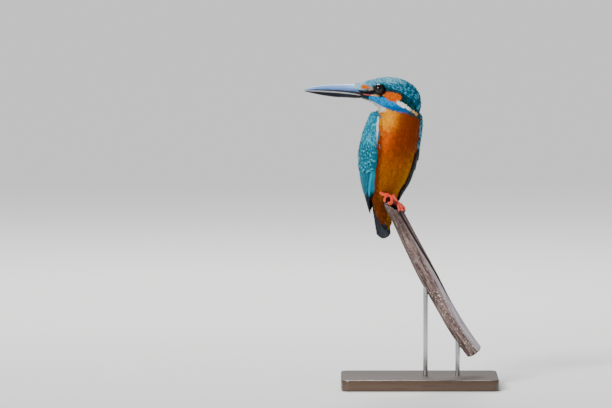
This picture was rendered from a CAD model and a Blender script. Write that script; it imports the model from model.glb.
import math

import bmesh
import bpy
import numpy as np
from mathutils import Matrix, Vector, kdtree
from mathutils.bvhtree import BVHTree


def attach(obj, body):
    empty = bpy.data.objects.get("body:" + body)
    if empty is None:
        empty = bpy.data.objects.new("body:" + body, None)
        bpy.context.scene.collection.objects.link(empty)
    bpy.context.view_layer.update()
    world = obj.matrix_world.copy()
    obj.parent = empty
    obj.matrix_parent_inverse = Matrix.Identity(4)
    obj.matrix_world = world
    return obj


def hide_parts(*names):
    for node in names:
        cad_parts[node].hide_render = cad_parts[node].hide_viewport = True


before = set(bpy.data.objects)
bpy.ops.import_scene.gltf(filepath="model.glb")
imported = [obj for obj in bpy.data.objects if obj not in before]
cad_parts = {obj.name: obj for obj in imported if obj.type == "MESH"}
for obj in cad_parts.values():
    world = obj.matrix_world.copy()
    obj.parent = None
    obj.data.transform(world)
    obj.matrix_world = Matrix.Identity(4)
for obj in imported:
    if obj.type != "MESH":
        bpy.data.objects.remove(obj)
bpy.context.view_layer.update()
mm = 0.001


# Sums on vectors held as rows of an array

def unit(rows):
    return rows / np.maximum(np.linalg.norm(rows, axis=-1, keepdims=True), 1e-12)


def flattened(directions, normals):  # the part of each direction that lies in the surface
    return unit(directions - (directions * normals).sum(-1, keepdims=True) * normals)


def smoothStep(low, high, x):
    t = np.clip((np.asarray(x, float) - low) / (high - low), 0, 1)
    return t * t * (3 - 2 * t)


def blend(a, b, t):
    return a + (b - a) * t


def peak(x, middle, width):  # 1 at the middle, falling away on both sides
    return np.exp(-(((x - middle) / width) ** 2))


def onLine(pairs, x):  # the value at x of a line through pairs of numbers
    return np.interp(x, *zip(*pairs))


def domed(share):  # how far a rounded end has opened out, at a share of its length
    return math.sqrt(max(0, 1 - (1 - min(1, share)) ** 2))


def through(values, t, places=None):  # a smooth curve of numbers through even or given places
    values = np.asarray(values, float)
    places = np.linspace(0, 1, len(values)) if places is None else np.asarray(places, float)
    slopes = np.gradient(values, places)
    t = np.clip(t, 0, 1)
    k = np.clip(np.searchsorted(places, t, side="right") - 1, 0, len(values) - 2)
    step = places[k + 1] - places[k]
    s = (t - places[k]) / step
    return ((2 * s**3 - 3 * s**2 + 1) * values[k] + (s**3 - 2 * s**2 + s) * step * slopes[k]
            + (3 * s**2 - 2 * s**3) * values[k + 1] + (s**3 - s**2) * step * slopes[k + 1])


def curveAt(points, t):  # a centripetal curve through points, at shares of its spans
    p = np.asarray(points, float)
    p = np.vstack([2 * p[0] - p[1], p, 2 * p[-1] - p[-2]])
    spans = len(p) - 3
    where = np.clip(np.asarray(t, float), 0, 1) * spans
    k = np.clip(where.astype(int), 0, spans - 1)
    s = (where - k)[..., None]
    a, b, c, d = p[k], p[k + 1], p[k + 2], p[k + 3]
    before, here, after = [np.linalg.norm(v - u, axis=-1, keepdims=True) ** 0.5
                           for u, v in ((a, b), (b, c), (c, d))]
    start = ((b - a) / before - (c - a) / (before + here) + (c - b) / here) * here
    end = ((c - b) / here - (d - b) / (here + after) + (d - c) / after) * here
    return b + start * s + (3 * (c - b) - 2 * start - end) * s**2 + (2 * (b - c) + start + end) * s**3


def evenly(points, count):  # points at even lengths along that curve, its direction there, and its length
    fine = np.linspace(0, 1, 400)
    run = np.concatenate([[0], np.cumsum(np.linalg.norm(np.diff(curveAt(points, fine), axis=0), axis=1))])
    places = curveAt(points, np.interp(np.linspace(0, run[-1], count), run, fine))
    return places, unit(np.gradient(places, axis=0)), run[-1]


def turning(tract):  # the axes of a tract's own frame, in which the bird faces -Y
    c, s = math.cos(math.radians(tract["turn"])), math.sin(math.radians(tract["turn"]))
    return np.array([[c, s, 0], [-s, c, 0], [0, 0, 1]])


def turned(rows, tract):  # from that frame to the model's
    return np.asarray(rows, float) @ turning(tract) + tract["at"]


def unturned(rows, tract):
    return (np.asarray(rows, float) - tract["at"]) @ turning(tract).T


def treeOver(points):  # for finding the nearest of many points
    tree = kdtree.KDTree(len(points))
    for i, point in enumerate(points):
        tree.insert(point, i)
    tree.balance()
    return tree


# Making and finishing pieces

def added(name, data):
    made = bpy.data.objects.new(name, data)
    bpy.context.scene.collection.objects.link(made)
    return made


def grownMesh(bm):
    mesh = bpy.data.meshes.new("making")
    bm.to_mesh(mesh)
    bm.free()
    return mesh


def finishPiece(name, mesh, material, replaces=()):
    piece = added(name, mesh)
    mesh.name = name
    mesh.materials.clear()
    mesh.materials.append(material)
    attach(piece, "root")
    if replaces:
        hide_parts(*replaces)


def rowsOf(data, name):
    found = np.empty(len(data) * 3, np.float32)
    data.foreach_get(name, found)
    return found.reshape(-1, 3).astype(float)


def coordinates(mesh):  # in millimetres
    return rowsOf(mesh.vertices, "co") / mm


def normalsOf(mesh):
    return rowsOf(mesh.vertex_normals, "vector")


def paint(mesh, colours):  # a colour for each vertex
    layer = mesh.color_attributes.new("Tint", "FLOAT_COLOR", "POINT")
    rgba = np.ones((len(mesh.vertices), 4), np.float32)
    rgba[:, :3] = colours
    layer.data.foreach_set("color", rgba.ravel())


def note(mesh, name, *columns):  # a vector for each vertex
    layer = mesh.attributes.new(name, "FLOAT_VECTOR", "POINT")
    layer.data.foreach_set("vector", np.stack(columns, 1).astype(np.float32).ravel())


def smoothed(bm):  # every face turned outwards, and shaded smooth
    bmesh.ops.recalc_face_normals(bm, faces=bm.faces)
    for face in bm.faces:
        face.smooth = True
    return bm


def sweep(sides, stations, place):
    # A tube from a circle drawn out station by station. Place gives the points of one ring, in millimetres.
    bm = bmesh.new()
    straight = bm.verts.layers.float_vector.new("Straight")
    ring = list(bmesh.ops.create_circle(bm, segments=sides, radius=1)["verts"])
    angles = np.arange(sides) * 2 * math.pi / sides
    for k in range(stations):
        if k:
            edges = [bm.edges.get((ring[i], ring[(i + 1) % sides])) for i in range(sides)]
            made = bmesh.ops.extrude_edge_only(bm, edges=edges)["geom"]
            fresh = {v for v in made if isinstance(v, bmesh.types.BMVert)}
            ring = [next(e.other_vert(v) for e in v.link_edges if e.other_vert(v) in fresh) for v in ring]
        share = k / (stations - 1)
        for vert, point, angle in zip(ring, place(share, angles), angles):
            vert.co = point * mm
            vert[straight] = (math.sin(angle), math.cos(angle), share)
    bmesh.ops.remove_doubles(bm, verts=bm.verts, dist=1e-7)
    bmesh.ops.holes_fill(bm, edges=bm.edges, sides=sides)
    return smoothed(bm)


def tube(points, radius, sides, stations, start, end, up=(0, 0, 1)):
    # A round limb along a curve. Radius is a function of the share along it, and start and end are the shares
    # over which its ends are rounded off.
    centres, ahead, _ = evenly(points, stations)
    side = unit(np.cross(ahead, np.asarray(up, float)))
    lift = np.cross(side, ahead)

    def place(share, angles):
        k = int(round(share * (stations - 1)))
        r = radius(share) * domed(share / start) * domed((1 - share) / end)
        return centres[k] + r * (np.outer(np.sin(angles), side[k]) + np.outer(np.cos(angles), lift[k]))

    return grownMesh(sweep(sides, stations, place))


def gathered(nodes, grow):  # copies of CAD nodes as one mesh, each swollen a little
    whole = bmesh.new()
    for name in nodes:
        part = bmesh.new()
        part.from_mesh(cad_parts[name].data)
        bmesh.ops.remove_doubles(part, verts=part.verts, dist=1e-6)
        bmesh.ops.recalc_face_normals(part, faces=part.faces)
        part.normal_update()
        for vert in part.verts:
            vert.co += vert.normal * grow * mm
        mesh = grownMesh(part)
        whole.from_mesh(mesh)
        bpy.data.meshes.remove(mesh)
    return whole


def fused(mesh, voxel, softening):  # one closed skin over pieces that meet
    holder = added("holder", mesh)
    remesh = holder.modifiers.new("fuse", "REMESH")
    remesh.mode, remesh.voxel_size = "VOXEL", voxel * mm
    graph = bpy.context.evaluated_depsgraph_get()
    made = bpy.data.meshes.new_from_object(holder.evaluated_get(graph))
    bpy.data.objects.remove(holder)
    bpy.data.meshes.remove(mesh)
    bm = bmesh.new()
    bm.from_mesh(made)
    for _ in range(softening):
        bmesh.ops.smooth_vert(bm, verts=bm.verts, factor=0.5, use_axis_x=True, use_axis_y=True,
                              use_axis_z=True)
    smoothed(bm).to_mesh(made)
    bm.free()
    return made


def treeOf(nodes):  # for finding the nearest place on CAD nodes
    bm = gathered(nodes, 0)
    tree = BVHTree.FromBMesh(bm)
    bm.free()
    return tree


def joinedMesh(meshes):
    bm = bmesh.new()
    for mesh in meshes:
        bm.from_mesh(mesh)
        bpy.data.meshes.remove(mesh)
    return grownMesh(bm)


# Materials

class Wire:  # an output socket that sums can be written with
    def __init__(self, finish, socket):
        self.finish, self.socket = finish, socket

    def math(self, operation, *values):
        return self.finish.node("ShaderNodeMath", dict(enumerate(values)), operation=operation)

    def __add__(self, other): return self.math("ADD", self, other)
    def __mul__(self, other): return self.math("MULTIPLY", self, other)
    def __sub__(self, other): return self.math("SUBTRACT", self, other)
    def __rsub__(self, other): return self.math("SUBTRACT", other, self)
    def __truediv__(self, other): return self.math("DIVIDE", self, other)
    __radd__ = __add__

    def between(self, low, high, fromValue=0, toValue=1):  # eased from one value to the other
        return self.finish.node("ShaderNodeMapRange", {"Value": self, "From Min": low, "From Max": high,
                                                       "To Min": fromValue, "To Max": toValue},
                                interpolation_type="SMOOTHSTEP")


class Finish:  # a material and its one shader
    def __init__(self, name, **constants):
        self.material = bpy.data.materials.new(name)
        self.material.use_nodes = True
        self.tree = self.material.node_tree
        self.tree.nodes.clear()
        out = self.tree.nodes.new("ShaderNodeOutputMaterial")
        self.shader = self.tree.nodes.new("ShaderNodeBsdfPrincipled")
        self.tree.links.new(self.shader.outputs[0], out.inputs[0])
        for socket, value in constants.items():
            self.set(socket.replace("_", " "), value)

    def set(self, socket, value, node=None):
        node = node or self.shader
        keys = {**{s.name: s for s in reversed(node.inputs)}, **{s.identifier: s for s in node.inputs}}
        target = node.inputs[socket] if isinstance(socket, int) else keys[socket]
        if isinstance(value, Wire):
            self.tree.links.new(value.socket, target)
        elif hasattr(value, "__len__") and target.type == "RGBA":
            target.default_value = (*value[:3], 1)
        else:
            target.default_value = value

    def node(self, kind, sockets, out=0, **settings):  # a new node, as the wire from one of its outputs
        made = self.tree.nodes.new(kind)
        for name, value in settings.items():
            setattr(made, name, value)
        for socket, value in sockets.items():
            self.set(socket, value, made)
        outputs = {s.identifier: s for s in made.outputs}
        return Wire(self, outputs[out] if out in outputs else made.outputs[out])

    def mix(self, base, *layers):  # colours laid one over another, each by its share
        for colour, share in layers:
            base = self.node("ShaderNodeMix", {"Factor_Float": share, "A_Color": base, "B_Color": colour},
                             "Result_Color", data_type="RGBA")
        return base

    def colour(self, base, *layers):
        self.set("Base Color", self.mix(base, *layers))

    def attribute(self, name, out="Vector"):
        return self.node("ShaderNodeAttribute", {}, out, attribute_name=name)

    def place(self):  # the model's own coordinates, in metres
        return self.node("ShaderNodeTexCoord", {}, "Object")

    def stretched(self, vector, x, y, z):
        return self.node("ShaderNodeMapping", {"Vector": vector, "Scale": (x, y, z)})

    def noise(self, vector, scale, detail=3, roughness=0.5):
        return self.node("ShaderNodeTexNoise", {"Vector": vector, "Scale": scale, "Detail": detail,
                                                "Roughness": roughness})

    def wave(self, vector, scale, distortion, detail, detailScale=1, **settings):
        return self.node("ShaderNodeTexWave", {"Vector": vector, "Scale": scale, "Distortion": distortion,
                                               "Detail": detail, "Detail Scale": detailScale}, 1, **settings)

    def onlyX(self, x):
        return self.node("ShaderNodeCombineXYZ", {"X": x})

    def apart(self, vector):  # the three numbers of a vector
        made = self.node("ShaderNodeSeparateXYZ", {"Vector": vector}).socket.node
        return [Wire(self, socket) for socket in made.outputs]

    def bumped(self, height, strength, distance):  # the last step, which gives the material
        self.set("Normal", self.node("ShaderNodeBump", {"Height": height, "Strength": strength,
                                                        "Distance": distance * mm}))
        return self.material


def grainFinish(name, dark, light, scale, bump, detail=3, stretch=None, eased=None, rough=None, **constants):
    # A plain finish: two colours mixed by one grain, which also gives the relief
    finish = Finish(name, **constants)
    where = finish.stretched(finish.place(), *stretch) if stretch else finish.place()
    grain = finish.noise(where, scale, detail)
    finish.colour(dark, (light, grain.between(*eased) if eased else grain))
    if rough:
        finish.set("Roughness", grain.between(0.3, 0.7, *rough))
    return finish.bumped(grain, *bump)


# Camera, floor and lights

cameraPlan = {"aim": (-80.9, -8, 130.96), "elevation": 4, "distance": 5000, "lens": 414, "sensor": 36}


def setCamera(plan):
    data = bpy.data.cameras.new("camera")
    data.lens, data.sensor_width = plan["lens"], plan["sensor"]
    data.clip_start, data.clip_end = 0.1, 200
    camera = added("camera", data)
    rise = math.radians(plan["elevation"])
    camera.location = (Vector(plan["aim"])
                       + plan["distance"] * Vector((0, -math.cos(rise), math.sin(rise)))) * mm
    camera.rotation_euler = (math.pi / 2 - rise, 0, 0)
    bpy.context.scene.camera = camera


floorPlan = {"halfSize": 60, "dark": (0.86, 0.87, 0.84), "light": (0.9, 0.91, 0.88)}  # its size in metres


def setFloor(plan):
    bm = bmesh.new()
    bmesh.ops.create_grid(bm, x_segments=1, y_segments=1, size=plan["halfSize"])
    finish = Finish("paleFloor", Roughness=0.9)
    finish.colour(plan["dark"], (plan["light"], finish.noise(finish.place(), 40)))
    floor = added("floor", grownMesh(bm))
    floor.data.materials.append(finish.material)


lightPlan = {  # kind, where from in metres, size in metres or the sun's width in degrees, strength
    "aim": (-10, -10, 160),
    "lamps": {
        "key": ("SUN", (-0.44, -0.62, 0.66), 18, 3.8),
        "fill": ("AREA", (1.3, -1.2, 0.4), 1.2, 1.5),
        "back": ("AREA", (-0.2, 1, 1.2), 0.7, 20),
    },
    "sky": (0.93, 0.97, 1, 1), "skyStrength": 0.36,
}


def setLights(plan):
    aim = Vector(plan["aim"]) * mm
    for name, (kind, start, size, strength) in plan["lamps"].items():
        data = bpy.data.lights.new(name, kind)
        data.energy = strength
        if kind == "SUN":
            data.angle = math.radians(size)
        else:
            data.shape, data.size = "DISK", size
        lamp = added(name, data)
        lamp.location = start
        lamp.rotation_euler = (aim - Vector(start)).to_track_quat("-Z", "Y").to_euler()
    world = bpy.data.worlds.new("softSky")
    bpy.context.scene.world = world
    world.use_nodes = True
    background = world.node_tree.nodes["Background"]
    background.inputs[0].default_value = plan["sky"]
    background.inputs[1].default_value = plan["skyStrength"]


setCamera(cameraPlan)
setFloor(floorPlan)
setLights(lightPlan)
print("camera, floor and lights set")


# The lines that the bird's forms follow. Each tract has its own frame, in which the bird faces -Y.

trunkLine = {
    "at": (-20.6, -4, 0), "turn": 33,
    "spine": [(0, -13, 206), (0, -9, 191), (0, -1.5, 173), (0, 4.5, 153), (0, 8.8, 135), (0, 5.8, 111.5)],
    "width": [13.6, 16.6, 19.2, 17.4, 9, 5.2],
    "front": [12.8, 15.8, 18.6, 16.4, 6.6, 3],
    "back": [13, 15.2, 17, 14.6, 6.4, 2],
    "lean": 20,
}
headLine = {"at": (-20, -13, 0), "turn": -90, "eye": (8.1, -9.1, 213.4), "billRoot": (-43, -13, 210),
            "whorl": (-41, -13, 210), "middle": -13}

trunkDense = curveAt(trunkLine["spine"], np.linspace(0, 1, 300))


def trunkAngle(points):  # degrees round the trunk: 0 at the breast, 180 at the back, positive on the left
    x, y, z = unturned(points, trunkLine).T
    return np.degrees(np.arctan2(x, np.interp(-z, -trunkDense[:, 2], trunkDense[:, 1]) - y))


def seenHeight(points):  # a height on the head as it looks from four degrees above
    return 0.9976 * points[:, 2] - 0.0698 * (5 + np.abs(points[:, 1] - headLine["middle"]))


# Markings, as colours over the whole coat. Face marks are in side view: x, and the height as it looks
# from a little above, the same on both sides of the head.

tone = {name: np.array(value) for name, value in {
    "breastTop": (0.9, 0.36, 0), "breastSide": (0.66, 0.1, 0), "breast": (0.4, 0.055, 0),
    "breastDeep": (0.1, 0.012, 0), "belly": (0.3, 0.085, 0), "bellyGold": (0.46, 0.185, 0),
    "undertail": (0.12, 0.026, 0.002), "ear": (0.68, 0.11, 0),
    "lore": (0.7, 0.14, 0), "buff": (0.4, 0.28, 0.19), "cream": (0.85, 0.52, 0.2),
    "white": (1, 1, 0.95), "malar": (0, 0.23, 0.6), "malarDeep": (0, 0.11, 0.34),
    "malarSpot": (0, 0.62, 1), "crown": (0, 0.09, 0.17), "crownSpot": (0.14, 0.6, 0.85),
    "nape": (0, 0.025, 0.034), "napeSpot": (0.01, 0.2, 0.26), "mask": (0.005, 0.005, 0.007),
    "covert": (0, 0.2, 0.32), "covertSpot": (0.2, 0.82, 1), "mantle": (0, 0.08, 0.115),
    "azure": (0, 0.33, 0.7), "flight": (0.008, 0.01, 0.013), "flightEdge": (0, 0.3, 0.46),
    "tail": (0.024, 0.032, 0.044), "tailEdge": (0.07, 0.085, 0.105), "tailUnder": (0.066, 0.07, 0.082),
    "frost": (0.55, 0.93, 1), "crownTop": (0.03, 0.29, 0.45), "band": (0.025, 0.055, 0.065),
    "chin": (0.86, 0.8, 0.68), "rim": (0.9, 0.94, 0.88),
}.items()}

faceMarks = [  # colour, the mark's points with their radii, and how soft its edge is
    ("malar", [(-34.8, 205.9, 1.6), (-29.8, 204.1, 2.6), (-22.7, 201.6, 3.7), (-15.6, 198.9, 3.5),
               (-9.9, 197, 2.6)], 0.5),
    ("ear", [(-24.9, 208.2, 1.7), (-20.6, 206.6, 3.2), (-16.4, 205.9, 2.8), (-17, 203.8, 1.9)], 0.5),
    ("cream", [(-33, 207.6, 0.5), (-30, 207.9, 0.8), (-26.3, 208.3, 0.9)], 0.3),
    ("white", [(-15.6, 202.2, 1.2), (-11.4, 199.9, 1.5), (-7, 197, 1.1), (-3.2, 194.2, 0.7)], 0.3),
    ("lore", [(-40.6, 213.6, 1.5), (-39, 213.6, 1.6), (-37.6, 213.4, 1.1)], 0.4),
    ("buff", [(-34.9, 212.6, 1.4), (-34.9, 211, 1.6)], 0.4),
    ("mask", [(-46, 209.8, 2.4), (-41, 209.2, 1.9), (-36.5, 208.6, 1.2), (-33.4, 207.9, 0.5)], 0.3),
    ("mask", [(-37, 209.8, 0.8), (-31.2, 210.6, 1.3)], 0.3),
    ("mask", [(-31.2, 212.9, 1.9), (-28.8, 212.8, 2.6), (-27.3, 212.6, 2.2)], 0.5),
]
markEdges = {  # where markings end: degrees round the trunk at heights, and heights along x on the head
    "flank": ([134, 140, 150, 170, 179, 188], [56, 50, 47, 48, 56, 92]),
    "slate": ([109, 112, 115, 118, 134], [-10, 10, 40, 95, 130]),
    "teal": ([118, 126, 134, 140], [210, 165, 116, 103]),
    "patch": ([150, 158, 178, 184, 197], [300, 103, 103, 66, 58]),
    "margin": ([130, 143, 157, 170, 179, 186, 192], [66, 66, 64, 61, 67, 76, 82]),
    "crown": ([-45, -25, -14, -5.7, 0], [211.5, 213.2, 210.3, 203.5, 195]),
    "orange": ([-45, -31, -21, -10.6, -5.7, -1.4, 2], [196.5, 195.4, 196, 195.2, 193, 191, 188.5]),
}
collarBand = [(-8.5, 195.6, 1.6), (-2, 192.4, 1.6)]


def laid(base, *layers):  # colours laid one over another, each by its share at every point
    base = tone[base] if isinstance(base, str) else base
    for colour, share in layers:
        over = tone[colour] if isinstance(colour, str) else colour
        base = blend(base, over, np.asarray(share)[:, None])
    return base


def stripMask(x, h, points, soft):  # 1 inside a chain of tapered strokes
    best = np.full(len(x), -9.0)
    for (x0, h0, r0), (x1, h1, r1) in zip(points, points[1:]):
        dx, dh = x1 - x0, h1 - h0
        t = np.clip(((x - x0) * dx + (h - h0) * dh) / max(dx * dx + dh * dh, 1e-9), 0, 1)
        best = np.maximum(best, blend(r0, r1, t) - np.hypot(x - x0 - t * dx, h - h0 - t * dh))
    return smoothStep(-soft, soft, best)


def crownLight(x, h):  # paler towards the top of the head and the forehead
    return smoothStep(213.5, 218, h + 0.42 * np.clip(-32 - x, 0, 14)) * smoothStep(-6, -18, x)


def markings(points, onWing):  # points in millimetres, and 0 to 1 for how far each is on a wing
    x, y, z = points.T
    h, turn = seenHeight(points), trunkAngle(points)
    angle = np.abs(turn)
    edges = {name: np.interp(x if name in ("crown", "orange") else z, *edge)
             for name, edge in markEdges.items()}
    wobble = 1.5 * np.sin(x * 0.9 + z * 0.7) + 1.2 * np.sin(z * 1.3 - y * 0.8)
    # the trunk: rufous before, teal behind, with an azure stripe down the back
    flank, slate = edges["flank"], edges["slate"]
    belly = laid("belly", ("bellyGold", smoothStep(-8, 30, turn)))
    rufous = laid(
        "breast",
        ("breastSide", 0.9 * peak(turn, -56, 20) * smoothStep(163, 178, z + 1.5 * wobble)),
        ("breastTop", 0.95 * peak(turn, -66, 30) * smoothStep(180, 191, z + wobble)),
        ("breastDeep", 0.5 * smoothStep(-44, -22, turn + 2 * wobble) * smoothStep(156, 166, z + wobble)),
        (belly, 0.9 * smoothStep(176, 150, z + 1.2 * wobble)),
        ("breastDeep", 0.8 * smoothStep(flank, flank + 10, -turn)),
        ("breastDeep", 0.6 * smoothStep(30, 60, turn) * smoothStep(163, 172, z)),
        ("undertail", smoothStep(140, 130, z)),
        ("bellyGold", 0.55 * smoothStep(130, 118, z) * smoothStep(-35, 10, turn)),
        ("tail", smoothStep(slate - 5, slate + 5, -turn)))
    teal = laid("mantle", ("azure", smoothStep(155, 166, angle)), ("azure", smoothStep(140, 132, z)))
    tealEdge = np.where(turn > 0, np.minimum(edges["teal"], edges["patch"]), edges["teal"])
    body = laid(rufous, (teal, smoothStep(-3, 3, angle + wobble - tealEdge)))
    # the head: crown and nape above, marks on the face, throat below
    high = laid("nape", ("crown", smoothStep(-0.8, 0.8, h - edges["crown"])), ("crownTop", crownLight(x, h)),
                ("frost", 0.55 * smoothStep(-35, -42, x) * smoothStep(210, 212.5, h)))
    aboveThroat = h + 0.22 * (x + 20) + 1.6 * np.clip(x + 7, 0, 9)
    aside = x + 0.3 * np.abs(y - headLine["middle"])
    head = laid("chin", ("breastTop", smoothStep(-24, -20, aside)),
                (high, smoothStep(200, 201.5, aboveThroat)), ("band", stripMask(x, h, collarBand, 0.6)))
    ends = {"malar": [("malarDeep", smoothStep(201.5, 198, h))], "white": [("cream", smoothStep(-10, -5, x))]}
    for name, strokes, soft in faceMarks:
        head = laid(head, (laid(name, *ends.get(name, [])), stripMask(x, h, strokes, soft)))
    wing = laid("covert", ("mantle", smoothStep(120, 160, angle)), ("azure", smoothStep(166, 176, angle)),
                ("flight", smoothStep(166, 160, z) * smoothStep(112, 92, angle) * (turn > 0)))
    covered = np.where(turn < 0, smoothStep(edges["margin"] - 2, edges["margin"] + 2, angle), 1)
    return laid(body, (head, smoothStep(-0.5, 0.5, h - edges["orange"])), (wing, onWing * covered))


# The bill's lines

billPlan = {"base": -21.5, "root": -22, "tip": -62.8, "tipZ": 212, "gapeZ": 209.3, "halfWidth": 4.6,
            "places": [0, 0.1, 0.28, 0.45, 0.62, 0.88, 1],
            "culmen": [7.1, 6.3, 5, 4.2, 3.6, 1.9, 0.35], "gonys": [3.3, 3.5, 3.9, 4.1, 3.5, 1.5, 0.3],
            "width": [1, 0.76, 0.56, 0.38, 0.08], "gap": 0.3, "groove": 0.35, "keel": 0.3,
            "thinBase": 0.86, "baseShare": 0.16, "domes": (0.03, 0.04)}


def billRing(y, angles, up, full=1.0, grow=0.0):  # the outline of a mandible at a place along the bill
    plan = billPlan
    share = min(1, max(0, (plan["root"] - y) / (plan["root"] - plan["tip"])))
    rise = float(through(plan["culmen" if up > 0 else "gonys"], share, plan["places"])) * full
    wide = float(through(plan["width"], share)) * full
    sin, cos = np.sin(angles), np.clip(np.cos(angles), 0, 1)
    x = (plan["halfWidth"] * wide + grow) * sin
    z = rise * cos**0.9 + grow * cos
    if up > 0:  # a keel along the culmen, and a groove before the nostril
        turn = (angles + math.pi) % (2 * math.pi) - math.pi
        dent = plan["groove"] * peak(np.abs(turn), 0.95, 0.2) * smoothStep(0.75, 0.3, share) * full
        x = x - np.sign(sin) * dent
        z = z + plan["keel"] * rise / 8 * peak(turn, 0, 0.16) - dent * 0.5
    gape = blend(plan["tipZ"], plan["gapeZ"], (1 - share) ** 3) + up * plan["gap"] / 2
    return np.stack([x, np.full(len(x), y), gape + up * z], 1)


# Skin

skinPlan = {"voxel": 0.7, "softening": 3, "fatten": 0.25, "shade": 0.8,
            "depth": [(0, 0.45), (14, 0.6), (34, 0.9), (60, 1.25), (110, 1.1)], "wingDepth": 0.8}
collarPlan = {"front": -27.6, "back": -18.5, "nose": 0.12, "grow": 1.05, "low": 209.4, "slope": 1.2}
bodyNodes, wingNodes = ["head", "neck", "trunk"], ["wing_left", "wing_right"]
flightNodes = ["secondaries_left", "secondaries_right", "primaries_left", "primaries_right"]


def reachOf(points):  # distance from the root of the bill
    return np.linalg.norm(points - np.array(headLine["billRoot"]), axis=1)


def shareOnWing(points):
    wings, rest = treeOf(wingNodes), treeOf(bodyNodes)
    nearer = [rest.find_nearest(point)[3] - wings.find_nearest(point)[3] for point in points * mm]
    return smoothStep(0.1, 0.9, np.array(nearer) / mm)


def collarEdge(y):  # the height above which feathers cover the bill, at a place along it
    return collarPlan["low"] - collarPlan["slope"] * (y - billPlan["base"])


def makeCollar():  # the forehead runs out over the ridge of the bill
    plan = collarPlan

    def place(share, angles):
        y = blend(plan["front"], plan["back"], share)
        full = domed(share / plan["nose"]) * (share < 0.999)
        bare = billRing(y, angles, 1, 0.9 * full)
        grown = billRing(y, angles, 1, full, plan["grow"] * full)
        over = smoothStep(-0.4, 0.4, grown[:, 2] - collarEdge(y))[:, None]
        return turned(blend(bare, grown, over), headLine)

    return grownMesh(sweep(32, 14, place))


def makeSkin():
    plan = skinPlan
    mesh = fused(joinedMesh([grownMesh(gathered(bodyNodes + wingNodes, plan["fatten"])), makeCollar()]),
                 plan["voxel"], plan["softening"])
    points = coordinates(mesh)
    onWing = shareOnWing(points)
    depth = onLine(plan["depth"], reachOf(points))
    depth = blend(depth, plan["wingDepth"], onWing) + plan["fatten"]
    sunk = (points - normalsOf(mesh) * depth[:, None]) * mm
    mesh.vertices.foreach_set("co", sunk.astype(np.float32).ravel())
    mesh.update()
    paint(mesh, markings(coordinates(mesh), onWing) * plan["shade"])
    return mesh, onWing


def skinFinish():
    finish = Finish("downySkin", Roughness=0.8, Specular_IOR_Level=0.3)
    fine = finish.noise(finish.place(), 1800, 4)
    finish.colour(finish.attribute("Tint", "Color"), ((0.01, 0.01, 0.01), fine * 0.6))
    return finish.bumped(fine, 0.6, 0.25)


skinMesh, skinOnWing = makeSkin()
skinPoints, skinNormals = coordinates(skinMesh), normalsOf(skinMesh)
skinMesh.calc_loop_triangles()
skinTriangles = np.array([t.vertices[:] for t in skinMesh.loop_triangles])
skinTree = BVHTree.FromPolygons((skinPoints * mm).tolist(), skinTriangles.tolist())
print("skin made:", len(skinPoints), "points")


# Contour feathers

chartPlan = {"headAxis": 208, "headAbove": 197, "edge": 0.003, "patch": 0.0014}  # and each feather's size
coatPlan = {
    "length": [(0, 1.4), (10, 1.9), (22, 2.6), (34, 3.5), (48, 5.4), (80, 7), (110, 8.5)],
    "spacing": [(0, 0.44), (10, 0.53), (22, 0.7), (34, 0.9), (48, 1.15), (80, 1.35), (110, 1.45)],
    "lift": [(0, 0.25), (14, 0.35), (34, 0.5), (60, 0.7), (110, 0.75)],
    "shape": 0.46,  # width as a share of the length
    "wingLength": 2.9, "wingSpacing": 0.86, "wingLift": 0.42, "wingShape": 0.62,
    "eyeBare": 4.1, "eyeBeside": 3.6, "eyeBefore": 9, "eyeStop": 3.3,  # how feathers keep clear of an eye
    "underFlight": 7, "besideFlight": 0.5,  # how near a flight feather leaves the skin bare
    "face": 30,  # how far from the bill the face's small feathers reach
    "tries": 5,  # for each feather that is kept
    "feather": {"seed": 3, "outline": [(0, 0.45), (0.4, 0.9), (0.75, 1), (1, 0.86)], "sink": -0.25,
                "camber": 0.2},
    "rows": ([0, 0.4, 0.75, 1], [0.9, 1.1, 0.9, 0]),  # along a feather, and how wide its blades are there
    # slot, blades in a feather, gloss, raggedness, curl and half width of the spot
    "pieces": {"faceCoat": ("teal_feathers", 4, 0.06, 0.07, 0.06, 0.7),
               "bodyCoat": ("rufous_feathers", 6, 0.05, 0.07, 0.06, 0.7),
               "wingCoat": ("teal_feathers", 6, 0.1, 0.03, 0.03, 0.45)},
}


def onSkin(points):  # the nearest places on the skin, and the ways it faces there
    found = [skinTree.find_nearest(point * mm) for point in points]
    return np.array([f[0] for f in found]) / mm, np.array([f[1] for f in found])


def lieOf(points, normals, onWing):  # how a feather lies: back from the bill, then down the body
    lean = math.radians(trunkLine["lean"])
    down = np.array([0, math.sin(lean), -math.cos(lean)]) @ turning(trunkLine)
    away = unit(points - np.array(headLine["whorl"]))
    w = (smoothStep(46, 20, reachOf(points)) * (1 - onWing))[:, None]
    return flattened(away * w + down * (1 - w) * 0.8, normals)


def scatter(isOpen, spacing, tries, seed):
    # Roots over the open triangles of the skin, no nearer than the spacing that holds at each of them
    own = np.random.default_rng(seed)
    a, b, c = [skinPoints[skinTriangles[:, i]] for i in range(3)]
    area = np.linalg.norm(np.cross(b - a, c - a), axis=1) / 2
    gap = spacing[skinTriangles].mean(1)
    density = np.where(isOpen[skinTriangles].all(1), area / gap**2, 0)
    count = int(density.sum() * tries)
    chosen = own.choice(len(skinTriangles), count, p=density / density.sum())
    u, v = own.random(count), own.random(count)
    flip = u + v > 1
    u[flip], v[flip] = 1 - u[flip], 1 - v[flip]
    mixing = np.stack([1 - u - v, u, v], 1)[:, :, None]
    place, normal = [(rows[skinTriangles[chosen]] * mixing).sum(1) for rows in (skinPoints, skinNormals)]
    tree = treeOver(place)
    taken = np.zeros(count, bool)
    kept = []
    for i in range(count):
        if not taken[i]:
            kept.append(i)
            taken[[near[1] for near in tree.find_range(place[i], gap[chosen[i]])]] = True
    return place[kept], unit(normal[kept])


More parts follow.
